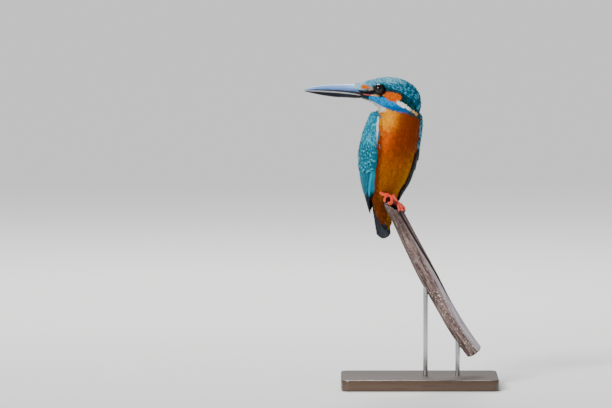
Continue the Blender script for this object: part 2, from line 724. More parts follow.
def onChart(points):  # a place on an unwrap of the skin: round each tract's own axis, and along it
    plan = chartPlan
    local = unturned(points, headLine)
    roundTrunk = trunkAngle(points) / 360 + 0.5
    roundHead = np.arctan2(local[:, 0], local[:, 2] - plan["headAxis"]) / (2 * math.pi) + 0.5
    onHead = points[:, 2] + 0.35 * (-18 - points[:, 0]) > plan["headAbove"]
    u = np.where(onHead, roundHead, roundTrunk)
    v = np.where(onHead, 0.66 + 0.32 * (local[:, 1] + 28) / 55, 0.02 + 0.6 * (200 - points[:, 2]) / 90)
    return np.clip(np.stack([u, v], 1), plan["edge"], 1 - plan["edge"])


def bladePattern(blades, rows, taper, tipRound):
    # One feather as blades that lie side by side at the root and part at the tip: each vertex as its share
    # along, its place across from -1 to 1 and its row, and the faces
    at, faces = [], []
    last = len(rows) - 1
    for b in range(blades):
        start, middle = len(at), (b + 0.5) / blades * 2 - 1
        for k, q in enumerate(rows):
            half = 1.12 / blades * taper[k]
            for across in (middle - half, middle + half) if k < last else (middle,):
                at.append((q * (1 - tipRound * middle * middle), across, q))
        faces += [(i, i + 1, i + 3, i + 2) for i in range(start, start + 2 * last - 2, 2)]
        faces.append((start + 2 * last - 2, start + 2 * last - 1, start + 2 * last))
    return np.array(at), faces


def meshFromArrays(name, points, faces, corners):  # the same faces repeated, from a table of points
    count, each = points.shape[:2]
    repeated = [[corner + i * each for corner in face] for i in range(count) for face in faces]
    loops = np.concatenate(repeated)
    mesh = bpy.data.meshes.new(name)
    mesh.from_pydata((points.reshape(-1, 3) * mm).tolist(), [], repeated)
    mesh.shade_smooth()
    for layerName, values in corners.items():  # maps given for each vertex, copied to its corners
        layer = mesh.uv_layers.new(name=layerName)
        layer.data.foreach_set("uv", values.reshape(-1, 2)[loops].astype(np.float32).ravel())
    return mesh


def layFeathers(name, roots, normals, lies, lengths, widths, lifts, pattern, tints, settings):
    # Lays every feather from its root to the skin near its tip, and gives it colour and two maps
    at, faces = pattern
    along, across, row = at.T
    own = np.random.default_rng(settings["seed"])
    count = len(roots)
    steps = [(roots, normals)] + [onSkin(roots + lies * (lengths * share)[:, None]) for share in (0.5, 1.0)]
    base, facing = [np.stack(rows, 1) for rows in zip(*steps)]
    curl = own.normal(0, settings["curl"], (count, 1))
    ragged = 1 + own.normal(0, settings["ragged"], (count, len(at))) * (row > 0.9)
    reach = np.clip(along[None, :] * ragged, 0, 1.08)
    weights = np.stack([(1 - reach) * (1 - 2 * reach), 4 * reach * (1 - reach), reach * (2 * reach - 1)], -1)
    centre = np.einsum("fvk,fkc->fvc", weights, base)
    normal = unit(np.einsum("fvk,fkc->fvc", np.clip(weights, 0, None), unit(facing)))
    ahead = unit(base[:, 2] - base[:, 0])
    side = unit(np.cross(normal, np.repeat(ahead[:, None, :], len(at), 1)))
    half = onLine(settings["outline"], row)[None, :] * widths[:, None] / 2
    sway = curl * reach**2 * lengths[:, None]
    lift = settings["sink"] * (1 - reach) + lifts[:, None] * reach**0.8
    lift = lift - settings["camber"] * across**2 * half
    points = centre + side * (across * half + sway)[..., None] + normal * lift[..., None]
    bake = onChart(roots)[:, None, :] + np.stack([across, along * 2 - 1], 1)[None] * chartPlan["patch"]
    vane = np.repeat(np.stack([across * 0.5 + 0.5, along], 1)[None], count, 0)
    mesh = meshFromArrays(name, points, faces, {"OFBake": bake, "Vane": vane})
    paint(mesh, tints(at, count, own).reshape(-1, 3))
    return mesh


def coatTints(colours, bright, spot, spotHalf):
    # The marking at each feather, a little darker at its root, with a bright tip where it has one
    def tints(at, count, own):
        along, across, row = at.T
        shade = own.normal(1, 0.06, (count, 1, 1)) * (0.86 + 0.16 * along[None, :, None])
        streak = 1 + 0.07 * own.normal(0, 1, (count, len(at), 1)) * (row[None, :, None] > 0.5)
        tip = smoothStep(0.7, 0.8, row) * (np.abs(across) < spotHalf)
        return np.clip(blend(colours[:, None, :] * shade * streak, bright[:, None, :],
                             tip[None, :, None] * spot[:, None, None]), 0, 1)
    return tints


def featherFinish(name, roughness, gloss):
    finish = Finish(name, Roughness=roughness, Specular_IOR_Level=gloss)
    across, along, _ = finish.apart(finish.node("ShaderNodeUVMap", {}, uv_map="Vane"))
    slant = across.math("ABSOLUTE", across - 0.5) * 9 - along * 14
    barbs = finish.wave(finish.onlyX(slant), 1.1, 1.5, 2)
    patchy = finish.noise(finish.place(), 420)
    finish.colour(finish.attribute("Tint", "Color"),
                  ((0, 0, 0), (1 - barbs) * 0.16 + patchy.between(0.35, 0.75) * 0.12))
    finish.set("Roughness", patchy.between(0.3, 0.7, roughness - 0.08, roughness + 0.1))
    return finish.bumped(barbs, 0.35, 0.08)


flightTree = treeOf(flightNodes)
eyePlaces = turned([(side * headLine["eye"][0], *headLine["eye"][1:]) for side in (1, -1)], headLine)


def underFlight(points, normals):  # where a flight feather lies over the skin
    above, beside = coatPlan["underFlight"] * mm, coatPlan["besideFlight"] * mm
    return np.array([flightTree.ray_cast(point * mm, normal, above)[0] is not None
                     or flightTree.find_nearest(point * mm, beside)[0] is not None
                     for point, normal in zip(points, normals)])


def shortOfEyes(roots, lies, lengths):  # feathers before an eye stop short of it
    plan = coatPlan
    for eye in eyePlaces:
        toEye = eye - roots
        ahead = (toEye * lies).sum(1)
        off = np.linalg.norm(toEye - lies * ahead[:, None], axis=1)
        isBefore = (off < plan["eyeBeside"]) & (ahead > 0) & (ahead < plan["eyeBefore"])
        lengths = np.where(isBefore, np.minimum(lengths, np.maximum(ahead - plan["eyeStop"], 0.5)), lengths)
    return lengths


def spotsAt(middle, colours, onWing, reach, own):
    # Pale bars on the crown and nape, and bright spots on the cheek and the wing coverts
    x, y, _ = middle.T
    count = len(middle)
    light = crownLight(x, seenHeight(middle))

    def isNear(colour, within):
        return np.linalg.norm(colours - colour, axis=1) < within

    isNape = isNear(tone["nape"], 0.02)
    isCrown = isNear(laid("crown", ("crownTop", light)), 0.05) & ~isNape
    isMalar = isNear(tone["malar"], 0.12)
    isTeal = (onWing > 0.6) & (colours[:, 2] > colours[:, 0]) & ~isNear(tone["flight"], 0.1)
    waves = reach / (2.6 - 0.4 * light) + 0.22 * np.sin(y * 1.1) + 0.1 * np.sin(x * 1.7)
    spot = np.where(isCrown, 1, np.where(isNape, 0.6, 0)) * np.where(waves % 1 < 0.5 + 0.14 * light, 1, 0.04)
    spot = np.where(isMalar, 0.8 * (own.random(count) < 0.5), spot * own.uniform(0.8, 1, count))
    spot = np.where(isTeal, 0.9 * (own.random(count) < 0.45), spot)
    bright = laid("napeSpot", (laid("crownSpot", ("frost", light)), isCrown), ("malarSpot", isMalar),
                  ("covertSpot", isTeal))
    return bright, spot


def makeCoat():
    plan = coatPlan
    nearest = treeOver(skinPoints)
    spacing = blend(onLine(plan["spacing"], reachOf(skinPoints)), plan["wingSpacing"], skinOnWing)
    eyeGap = np.min([np.linalg.norm(skinPoints - eye, axis=1) for eye in eyePlaces], 0)
    # bare at the root of the bill: forward over the culmen, back at the chin
    _, y, z = unturned(skinPoints, headLine).T
    underBill = (y < billPlan["base"] + 0.1) & (z < collarEdge(y) + 0.2)
    isOpen = (eyeGap > plan["eyeBare"]) & ~underBill & ~underFlight(skinPoints, skinNormals)
    roots, normals = scatter(isOpen, spacing, plan["tries"], seed=11)
    reach = reachOf(roots)
    onWing = skinOnWing[[nearest.find(root)[1] for root in roots]]
    lies = lieOf(roots, normals, onWing)
    own = np.random.default_rng(5)
    lengths = blend(onLine(plan["length"], reach), plan["wingLength"], onWing)
    lengths = shortOfEyes(roots, lies, lengths * own.normal(1, 0.07, len(roots)))
    lies = flattened(lies + own.normal(0, 0.07, lies.shape), normals)
    widths = np.minimum(lengths * blend(plan["shape"], plan["wingShape"], onWing), lengths * 0.8 + 0.4)
    lifts = blend(onLine(plan["lift"], reach), plan["wingLift"], onWing)
    lifts = lifts * own.normal(1, 0.15, len(roots))
    middle = roots + lies * (lengths * 0.7)[:, None]
    colours = markings(middle, onWing)
    bright, spot = spotsAt(middle, colours, onWing, reach, own)
    group = np.where(onWing >= 0.5, "wingCoat", np.where(reach < plan["face"], "faceCoat", "bodyCoat"))
    for name, (slot, blades, gloss, ragged, curl, spotHalf) in plan["pieces"].items():
        mine = group == name
        mesh = layFeathers(
            name, *[rows[mine] for rows in (roots, normals, lies, lengths, widths, lifts)],
            bladePattern(blades, *plan["rows"], 0.2),
            coatTints(colours[mine], bright[mine], spot[mine], spotHalf),
            {**plan["feather"], "ragged": ragged, "curl": curl})
        finishPiece(name, mesh, featherFinish(name + "Vanes", 0.6, gloss))
        print(name, "laid:", int(mine.sum()), "feathers,", len(mesh.polygons), "faces")


makeCoat()
finishPiece("skin", skinMesh, skinFinish(), bodyNodes + wingNodes)


# Flight feathers: long vanes laid on a folded wing or on the tail, each a strip from its root to its tip

wingLine = {
    "topZ": 195, "tipZ": 124, "places": [0, 0.1, 0.35, 0.6, 0.82, 1],
    "frontRight": [92, 87, 61, 63, 76, 112], "frontLeft": [84, 74, 69, 68, 76, 112],
    "back": [122, 146, 166, 171, 166, 130],
    "thick": [4, 4.8, 4.4, 3.4, 2.4, 1.6], "stand": [1.2, 0.8, 0.6, 1, 3.9, 3.6],
}
tailPlan = {
    "line": [(0, 16.4, 138), (0, 13, 123), (0, 8.8, 105.6)], "from": 0.02, "halfWidth": 2.6, "blunt": 0.93,
    "order": (5, -5, 4, -4, 3, -3, 2, -2, 1, -1, 0.4, -0.4),  # feathers from the outer ones in
    "rootGap": 0.95, "tipGap": 0.68, "shorter": 0.0014, "lower": 0.05,
    "above": (0.3, 0.75, -0.24), "below": (-0.2, -0.5, 0.1),  # lift at the root and the tip, and its change
}
toLeft = np.array([1.0, 0, 0])


def onSpine(points, share):  # the place on a tract's midline, and which way the belly is there
    after, before = [curveAt(points, np.clip(share + step, 0, 1)) for step in (0.004, -0.004)]
    return curveAt(points, share), np.cross(unit(after - before), toLeft)


def wingPlace(t, share, lift, side):  # a point on the folded wing, and how wide the wing is there
    inside = np.clip(t, 0, 1)
    lines = [wingLine[key] for key in ("frontLeft" if side > 0 else "frontRight", "back", "thick", "stand")]
    front, back, thick, stand = [through(line, inside, wingLine["places"]) for line in lines]
    turn = np.radians(blend(front, back, share))
    outward = stand + np.sqrt(np.clip(1 - np.abs(2 * share - 1) ** 2.5, 0.05, 1)) * thick
    heights = [-wingLine["topZ"], -wingLine["tipZ"]]
    where = blend(*np.interp(heights, -trunkDense[:, 2], np.linspace(0, 1, len(trunkDense))), t)
    place, belly = onSpine(trunkLine["spine"], where)
    wide, deep, high = [through(trunkLine[key], where) for key in ("width", "front", "back")]
    depth = np.where(np.cos(turn) > 0, deep, high)
    reach = 1 / np.hypot(np.sin(turn) / wide, np.cos(turn) / depth) + outward + lift
    down, out = [(reach * part(turn))[..., None] for part in (np.cos, np.sin)]
    width = reach * np.radians(np.maximum(back - front, 14))
    return turned(place + belly * down + side * toLeft * out, trunkLine), width


def tailPlace(t, s, across, lift):
    place, belly = onSpine(tailPlan["line"], np.clip(t, 0, 1))
    return turned(place - belly * lift[..., None] + toLeft * (s + across)[..., None], trunkLine)


def stripGrid(rows, columns):  # shares along, places across and faces of one vane
    q = np.repeat(np.linspace(0, 1, rows), columns)
    x = np.tile(np.linspace(-1, 1, columns), rows)
    faces = [(k * columns + i, k * columns + i + 1, (k + 1) * columns + i + 1, (k + 1) * columns + i)
             for k in range(rows - 1) for i in range(columns - 1)]
    return q, x, faces


def vaneWidth(q, blunt):  # half width of a vane along its length, as a share of the widest
    return np.interp(q, [0, 0.1, 0.45, blunt, 0.5 + blunt / 2, 1], [0.35, 0.72, 1, 0.95, 0.72, 0.2])


vaneMaterial = featherFinish("flightVanes", 0.55, 0.08)


def makeVanes(name, feathers, placeOf, tints, replaces=(), flip=False, blunt=0.82):
    # Feathers are rows of: t and share at the root, at the tip, half width, lift at the root and at the tip,
    # and how far the front edge turns in
    q, x, faces = stripGrid(25, 7)
    if flip:
        faces = [face[::-1] for face in faces]
    rootT, rootShare, tipT, tipShare, wide, rootLift, tipLift, turnIn = np.array(feathers).T[:, :, None]
    count = len(feathers)
    own = np.random.default_rng(21)
    notches = 1 + 0.05 * own.normal(0, 1, (count, len(q))) * (np.abs(x) > 0.9)
    half = wide * vaneWidth(q, blunt) * notches
    lift = blend(rootLift, tipLift, q**0.8) - 0.1 * half * x**2 + 0.1 * peak(x, 0, 0.12)
    lift = lift - turnIn * np.clip(-x, 0, 1) ** 2
    points = placeOf(blend(rootT, tipT, q), blend(rootShare, tipShare, q), x * half, lift)
    column = (np.arange(count)[:, None] + 0.5 + 0.42 * x[None]) / count
    bake = np.stack([column, np.repeat(0.02 + 0.96 * q[None], count, 0)], -1)
    vane = np.repeat(np.stack([x * 0.5 + 0.5, q * 4], 1)[None], count, 0)
    mesh = meshFromArrays(name, points, faces, {"OFBake": bake, "Vane": vane})
    paint(mesh, tints(q, x, count, own).reshape(-1, 3))
    finishPiece(name, mesh, vaneMaterial, replaces)


def withShaft(base, x):  # a vane's colours with the dark line down its middle
    return laid(base, (tone["flight"] * 0.4, 0.6 * peak(x, 0, 0.08)))


blackFrom = {"dark": 0, "primary": 0.88, "blackTip": 0.8, "secondary": 0.93}  # where the bright edge ends


def wingTints(kinds):  # dark vanes with a bright outer web, and bright tips on the coverts
    def tints(q, x, count, own):
        out = np.empty((count, len(q), 3))
        for i, kind in enumerate(kinds):
            edge = tone["flightEdge"] * (0.8 + 0.3 * own.random())
            if kind in blackFrom:
                bright = smoothStep(0.42, -0.1, x) * smoothStep(blackFrom[kind], blackFrom[kind] - 0.1, q)
                base = laid("flight", (edge, 0.95 * bright * (kind != "dark")))
            else:
                base = blend(tone["covert"], tone["mantle"], 0.3 + 0.3 * own.random())
                wave = q * 5 + own.random()
                dots = smoothStep(0.1, 0.8, np.cos(2 * math.pi * wave)) * smoothStep(0, 0.15, q)
                dots = dots * smoothStep(0.5, 0.2, np.abs(x - 0.35 * np.cos(math.pi * wave)))
                dots = np.maximum(dots * 0.7, smoothStep(0.9, 0.97, q) * smoothStep(0.5, 0.2, np.abs(x)))
                base = laid(base, ("covertSpot", dots * 0.8))
                if kind == "shaded":
                    base = laid(base, ("flight", smoothStep(0.25, 0.5, q)))
            out[i] = withShaft(base, x)
        return np.clip(out, 0, 1)
    return tints


wingPlan = {
    # the first and last row of each kind of vane, as makeVanes takes them, and how many
    "primary": ((0.34, 0.03, 0, 0.06, 3.2, -1.6, -0.7, 0), (0.42, 0.42, 0, 0.75, 3.2, -1.4, -0.5, 0), 10),
    "secondary": ((0.38, 0.4, 0.84, 0.5, 3.3, -1.3, -0.4, 0),
                  (0.38, 0.8, 0.76, 0.84, 3.3, -1.1, -0.1, 0), 11),
    "tertial": ((0.32, 0.8, 0.8, 0.84, 3.8, -1, -0.05, 0), (0.32, 0.96, 0.68, 0.96, 3.8, -1, 0.15, 0), 4),
    "dark": ((0.55, 0.62, 0.99, 0.7, 1.9, -0.9, 0, 0), (0.55, 1.1, 0.942, 1.26, 1.9, -0.9, 0, 0), 5),
    "primaryTips": [0.9, 0.94, 0.97, 0.99, 1, 1, 0.985, 0.96, 0.93, 0.9],
    # coverts: t at the root and the tip, how many, and the lift at the tip
    "coverts": [(0.35, 0.56, 17, 0.0), (0.3, 0.47, 18, 0.12)],
    # for each wing, how far forward the first vanes lie, the first coverts, and how far its edge turns in
    "left": (0.3, 0.03, 0.6), "right": (-0.06, 0.08, 2.2),
}


def wingFeathers(side):  # the left wing shows past the belly as a dark edge
    plan, isLeft = wingPlan, side > 0
    forward, first, turnIn = plan["left" if isLeft else "right"]
    primaries = np.linspace(*plan["primary"])
    primaries[:, 2] = plan["primaryTips"]
    primaries[:, [1, 3]] -= forward * np.clip(1 - np.arange(10) / 3, 0, None)[:, None]
    primaries[0, 7] = turnIn
    if isLeft:
        primaries[:3, 5] = -0.8
    rows, kinds = primaries.tolist(), ["dark" if isLeft else "primary"] * 3 + ["blackTip"] * 7
    for kind in ("secondary", "tertial") if isLeft else ("secondary", "tertial", "dark"):
        rows += np.linspace(*plan[kind]).tolist()
        kinds += [kind] * plan[kind][2]
    for row, (root, tip, count, lift) in enumerate(plan["coverts"]):
        for k in range(count):
            f = (k + 0.5 * row) / count
            rows.append((root, blend(first, 0.96, f), tip + 0.05 * f + 0.03 * math.sin(k * 2.4),
                         blend(first + 0.01, 0.96, f), 2.2 - 0.3 * row, -1.5, lift + 0.12 * f,
                         1.2 if k == 0 else 0))
            kinds.append("shaded" if isLeft and f < 0.22 else "covert")
    return rows, kinds


rimPlan = {"to": 0.3, "rows": [-0.02, 0.0, 0.02], "each": 64, "length": 1.5, "width": 0.8, "lift": 0.55,
           "shift": [(0, -0.11), (0.12, -0.09), (0.22, -0.04), (0.3, 0.01)], "fadeFrom": 0.14,
           "leftShare": 0.35,
           "feather": {"seed": 8, "outline": [(0, 0.5), (0.5, 1), (1, 0.8)], "sink": -0.2, "curl": 0.03,
                       "ragged": 0.03, "camber": 0.22}}


def makeRim(side):  # small pale feathers along the front edge of a wing
    plan = rimPlan
    t = np.tile(np.linspace(0, plan["to"], plan["each"]), len(plan["rows"]))
    t = t + np.repeat(np.arange(len(plan["rows"])), plan["each"]) * 0.0015
    share = np.repeat(plan["rows"], plan["each"]) + onLine(plan["shift"], t)
    line, further = [wingPlace(t + step, share, -0.2, side)[0] for step in (0, 0.01)]
    roots, normals = onSkin(line)
    fade = smoothStep(plan["to"], plan["fadeFrom"], t) * (1 if side < 0 else plan["leftShare"])
    colours, ones = laid("covert", ("rim", fade)), np.ones(len(t))
    return layFeathers("rim", roots, normals, flattened(unit(further - line), normals),
                       *[plan[key] * ones for key in ("length", "width", "lift")],
                       bladePattern(3, [0, 0.5, 1], [0.9, 1.1, 0], 0.1),
                       coatTints(colours, colours, 0 * ones, 0.5), plan["feather"])


finishPiece("wingRims", joinedMesh([makeRim(1), makeRim(-1)]), vaneMaterial)


for name, side in (("left", 1), ("right", -1)):
    rows, kinds = wingFeathers(side)

    def placeOf(t, s, across, lift, side=side):
        width = wingPlace(t, s, lift, side)[1]
        return wingPlace(t, s + across / width, lift, side)[0]

    makeVanes("flightFeathers_" + name, rows, placeOf, wingTints(kinds),
              ("secondaries_" + name, "primaries_" + name), flip=side < 0)
print("wing feathers laid")


def tailTints(isBelow):
    def tints(q, x, count, own):
        base = laid("tail", ("tailEdge", 0.7 * smoothStep(0.2, 1, np.abs(x))))
        if isBelow:
            base = tone["tailUnder"] * (0.75 + 0.35 * smoothStep(0.3, 1, np.abs(x))[:, None])
        return np.array([withShaft(base, x) * own.normal(1, 0.07) for _ in range(count)])
    return tints


def tailFan(key):
    plan = tailPlan
    root, tip, change = plan[key]
    return [(plan["from"], k * plan["rootGap"], 1 - plan["shorter"] * k * k, k * plan["tipGap"],
             plan["halfWidth"], root - plan["lower"] * abs(k), tip + change * abs(k), 0)
            for k in plan["order"]]


for name, key, replaced in (("tailFeathers", "above", ("tail",)), ("tailUnderside", "below", ())):
    makeVanes(name, tailFan(key), tailPlace, tailTints(key == "below"), replaced,
              flip=key == "above", blunt=tailPlan["blunt"])
print("tail feathers laid")


# Bill

def mandible(up):
    def place(share, angles):
        plan = billPlan
        full = blend(plan["thinBase"], 1, float(smoothStep(0, plan["baseShare"], share)))
        full = full * domed(share / plan["domes"][0]) * domed((1 - share) / plan["domes"][1])
        return turned(billRing(blend(plan["base"], plan["tip"], share), angles, up, full), headLine)

    return grownMesh(sweep(40, 56, place))


def billFinish(name, isUpper):
    finish = Finish(name, Roughness=0.34, Specular_IOR_Level=0.4 if isUpper else 0.15)
    where = finish.place()
    x = finish.apart(where)[0]
    _, height, along = finish.apart(finish.attribute("Straight"))
    streaks = finish.noise(finish.stretched(where, 90, 900, 900), 1)
    wear = finish.noise(where, 260, 4)
    soft = height + streaks * 0.16 - 0.08
    if isUpper:  # a blue-grey flank under a paler ridge, dark along the cutting edge, with a pale nostril
        base = finish.mix((0.06, 0.13, 0.32), ((0.17, 0.34, 0.7), soft.between(0.2, 0.75)),
                          ((0.4, 0.55, 0.78), soft.between(0.86, 0.97) * 0.6),
                          ((0.6, 0.85, 1), x.between(-0.054, -0.045) * soft.between(0.5, 0.9) * 0.7))
        nostril = (x.between(-0.0462, -0.0452) * x.between(-0.0436, -0.0446)
                   * height.between(0.5, 0.62) * height.between(0.8, 0.7))
        base = finish.mix((0.006, 0.006, 0.012), (base, soft.between(0.1, 0.26)),
                          ((0.3, 0.32, 0.34), along.between(0.93, 0.99) * 0.6),
                          ((0.5, 0.48, 0.48), nostril * 0.8))
    else:  # nearly black, with a pale line along the cutting edge and a red root
        base = finish.mix((0.004, 0.004, 0.01), ((0.012, 0.013, 0.024), streaks.between(0.35, 0.7)))
        root = x.between(-0.047, -0.0425) * height.between(0.5, 0.3)
        base = finish.mix((0.34, 0.34, 0.36), (base, soft.between(0.13, 0.24)),
                          ((0.3, 0.03, 0.02), root * 0.3))
    finish.colour(base, ((0.1, 0.1, 0.11), wear.between(0.58, 0.78) * 0.2))
    finish.set("Roughness", streaks.between(0.3, 0.7, 0.26, 0.42))
    return finish.bumped(streaks * 0.4 + wear * 0.6, 0.15, 0.08)


finishPiece("billUpper", mandible(1), billFinish("hornUpper", True), ("bill_upper",))
finishPiece("billLower", mandible(-1), billFinish("hornLower", False), ("bill_lower",))


gapePlan = {"line": [(-20.6, 209.9), (-18, 209.4), (-15, 209.1), (-12.2, 209)], "out": 0.3,
            "thick": 0.5, "thin": 0.38}


def gapeFinish():
    finish = Finish("mouthCorner", Roughness=0.45)
    along = finish.apart(finish.attribute("Straight"))[2]
    grain = finish.noise(finish.place(), 1400)
    finish.colour((0.2, 0.012, 0.008), ((0.34, 0.03, 0.015), grain),
                  ((0.78, 0.4, 0.26), along.between(0.62, 0.8)))
    return finish.bumped(grain, 0.4, 0.1)


def makeGape(side):  # the soft corner of the mouth, which runs back over the cheek
    plan = gapePlan
    points = []
    for _, y, z in curveAt([(0, *pair) for pair in plan["line"]], np.linspace(0, 1, 9)):
        start, inward = turned([(side * 20, y, z), (0, y, z)], headLine)
        hit = skinTree.ray_cast(start * mm, unit(inward - start))
        points.append(np.array(hit[0]) / mm + np.array(hit[1]) * plan["out"])
    return tube(points, lambda share: blend(plan["thick"], plan["thin"], share), 12, 26, 0.15, 0.15)


finishPiece("mouthCorners", joinedMesh([makeGape(1), makeGape(-1)]), gapeFinish())
print("bill made")


# Eyes and lids

eyePlan = {"radius": 3.7, "lidRadius": 3.0, "lidThick": 0.36, "lidOut": 2.0}


def placed(bm, at, spin=0):  # as a mesh, turned about the X axis and then moved
    bmesh.ops.rotate(bm, verts=bm.verts, cent=(0, 0, 0), matrix=Matrix.Rotation(spin, 3, "X"))
    bmesh.ops.translate(bm, verts=bm.verts, vec=Vector(at) * mm)
    return grownMesh(smoothed(bm))


def eyeFinish():
    finish = Finish("wetEye", Roughness=0.08, Specular_IOR_Level=0.2, Coat_Weight=0.3, Coat_Roughness=0.04)
    off = finish.apart(finish.attribute("Straight"))[2]
    grain = finish.noise(finish.place(), 2600)
    iris = finish.mix((0.004, 0.002, 0.0015), ((0.01, 0.005, 0.003), grain))
    finish.colour((0.002, 0.002, 0.002), (iris, off.between(0.44, 0.5) * off.between(0.86, 0.78)))
    return finish.bumped(grain, 0.03, 0.05)


def makeEye(side, centre):  # each point keeps its angle from the middle of the pupil
    bm = bmesh.new()
    bmesh.ops.create_uvsphere(bm, u_segments=40, v_segments=28, radius=eyePlan["radius"] * mm)
    facing = bm.verts.layers.float_vector.new("Straight")
    for vert in bm.verts:
        vert[facing] = (0, 0, math.acos(max(-1, min(1, vert.co.z / eyePlan["radius"] / mm))))
    return placed(bm, centre, side * math.pi / 2)


def makeLid(side, centre):
    bm = bmesh.new()
    ring = Matrix.Translation((eyePlan["lidRadius"] * mm, 0, 0)) @ Matrix.Rotation(math.pi / 2, 4, "X")
    bmesh.ops.create_circle(bm, segments=10, radius=eyePlan["lidThick"] * mm, matrix=ring)
    bmesh.ops.spin(bm, geom=bm.edges[:] + bm.verts[:], cent=(0, 0, 0), axis=(0, 0, 1), dvec=(0, 0, 0),
                   angle=2 * math.pi, steps=44, use_merge=True)
    bmesh.ops.remove_doubles(bm, verts=bm.verts, dist=1e-6)
    return placed(bm, centre - np.array([0, side * eyePlan["lidOut"], 0]), math.pi / 2)


eyeMaterial = eyeFinish()
lidMaterial = grainFinish("darkLid", (0.003, 0.003, 0.004), (0.01, 0.009, 0.01), 2200, (0.6, 0.15), 4,
                          Roughness=0.6, Specular_IOR_Level=0.15)
for name, side, centre in (("left", 1, eyePlaces[0]), ("right", -1, eyePlaces[1])):
    finishPiece("eye_" + name + "_wet", makeEye(side, centre), eyeMaterial, ("eye_" + name,))
    finishPiece("lid_" + name, makeLid(side, centre), lidMaterial)
print("eyes made")


# Legs, feet and claws

feetPlan = {
    "tarsus": 1.15, "toe": 1.05, "voxel": 0.24, "samples": 60, "up": (0.3, 1, 0.1),
    "padHeight": 0.1, "padEvery": 3.1,
    "sole": {"at": (-22.8, -14, 134.5), "half": (2.3, 0.8, 2.3)},  # inside the ring of the right foot's toes
    "claw": {"radius": 0.74, "tip": 0.14, "length": 3, "hook": 0.7, "from": 0.9},
    "right": {
        "leg": [(-26.6, -4.5, 144), (-27.6, -7.5, 138.8), (-21.4, -13, 137.4)],
        "toes": [
            [(-20, -15, 135.4), (-20.4, -17.2, 133), (-23.2, -17.8, 132.2)],
            [(-20.2, -13.8, 134.6), (-20.2, -16.4, 132.2), (-22.8, -17.2, 131.4)],
            [(-20.8, -12.4, 134.6), (-20.2, -14.2, 132), (-22, -16, 131)],
            [(-23.8, -14, 136.8), (-25.1, -15.4, 134.8), (-24.8, -16.4, 132.6)],
        ],
    },
    "left": {
        "leg": [(-19.6, 0, 143), (-19, -3.6, 137), (-15.8, -7.4, 131.8)],
        "toes": [
            [(-14, -10.8, 130.4), (-12.9, -13.4, 128.4), (-12.9, -15.9, 126.2)],
            [(-13.2, -8.8, 130.2), (-11.2, -10.8, 128.2), (-10.9, -13, 126)],
            [(-15.4, -12.2, 130), (-14.9, -15, 128.2), (-15.1, -17.4, 126.2)],
            [(-16.8, -4.6, 130.2), (-16.2, -3.2, 127.4), (-14.9, -3.2, 124.8)],
        ],
    },
}
canePlan = {
    "spine": [(-23.4, -12.5, 138), (-19.6, -11.5, 129.2), (-15.2, -10.2, 121.5), (-7.1, -7.5, 105),
              (7.8, -2.5, 75.8), (27, 3, 41.6), (40, 6.5, 23)],
    "radius": [4.8, 5.3, 6, 6.5, 6, 6.1, 5.9], "groove": 1.4, "grooveWidth": 0.16, "grooveEnd": 0.66,
    "turn": (-18, -68), "ribs": 14, "ribHeight": 0.16, "stations": 150, "sides": 64, "dome": 0.015,
    # the planes that the torn end is cut by: a point on each, and the way it faces
    "cuts": [((-18.7, -11.2, 129.9), (0.474, -0.362, 0.803)), ((-23.4, -12.5, 131.4), (-0.62, 0, 0.78))],
    # the torn end: in over the wall, then down into the hollow and across its floor. Each step is the share
    # of the way in, how far down, how ragged, and how dark, from -1 on the pale wall to 1 in the hollow
    "torn": [(0.16, -0.2, 0.35, -1), (0.2, 0.3, 0.3, 0.4), (0.06, 3, 0.1, 1), (0.1, 6.5, 0.2, 1),
             (0.5, 1.5, 0.1, 1)],
}


def coralFinish():
    finish = Finish("coralSkin", Roughness=0.5, Specular_IOR_Level=0.3)
    where = finish.place()
    along = finish.apart(finish.attribute("Straight"))[2]
    rings = finish.wave(finish.onlyX(along), 0.34, 0.6, 1, wave_profile="SAW")
    cells = finish.node("ShaderNodeTexVoronoi", {"Vector": where, "Scale": 1500}, feature="DISTANCE_TO_EDGE")
    finish.colour((0.72, 0.042, 0.012), ((0.98, 0.08, 0.03), finish.noise(where, 300)),
                  ((0.75, 0.1, 0.1), finish.apart(where)[0].between(-0.021, -0.017) * 0.6),
                  ((0.2, 0.015, 0.01), (1 - cells.between(0, 0.12)) * 0.35 + (1 - rings) * 0.2))
    return finish.bumped(rings * 0.6 + cells.between(0, 0.2) * 0.4, 0.5, 0.12)


def clawCurve(toe):
    claw = feetPlan["claw"]
    dense, ahead, _ = evenly(toe, 101)
    end, forward = dense[int(claw["from"] * 100)], ahead[-1]
    inward = (np.array(canePlan["cuts"][0][0]) - end) * (1, 1, 0)
    middle = end + forward * claw["length"] * 0.5
    tip = end + forward * claw["length"] * 0.9 + unit(inward) * claw["hook"]
    t = np.linspace(0, 1, 7)[:, None]
    return (1 - t) ** 2 * end + 2 * t * (1 - t) * middle + t**2 * tip


def makeSole(plan):
    bm = bmesh.new()
    bmesh.ops.create_uvsphere(bm, u_segments=24, v_segments=16, radius=mm)
    bmesh.ops.scale(bm, verts=bm.verts, vec=plan["half"])
    return placed(bm, plan["at"])


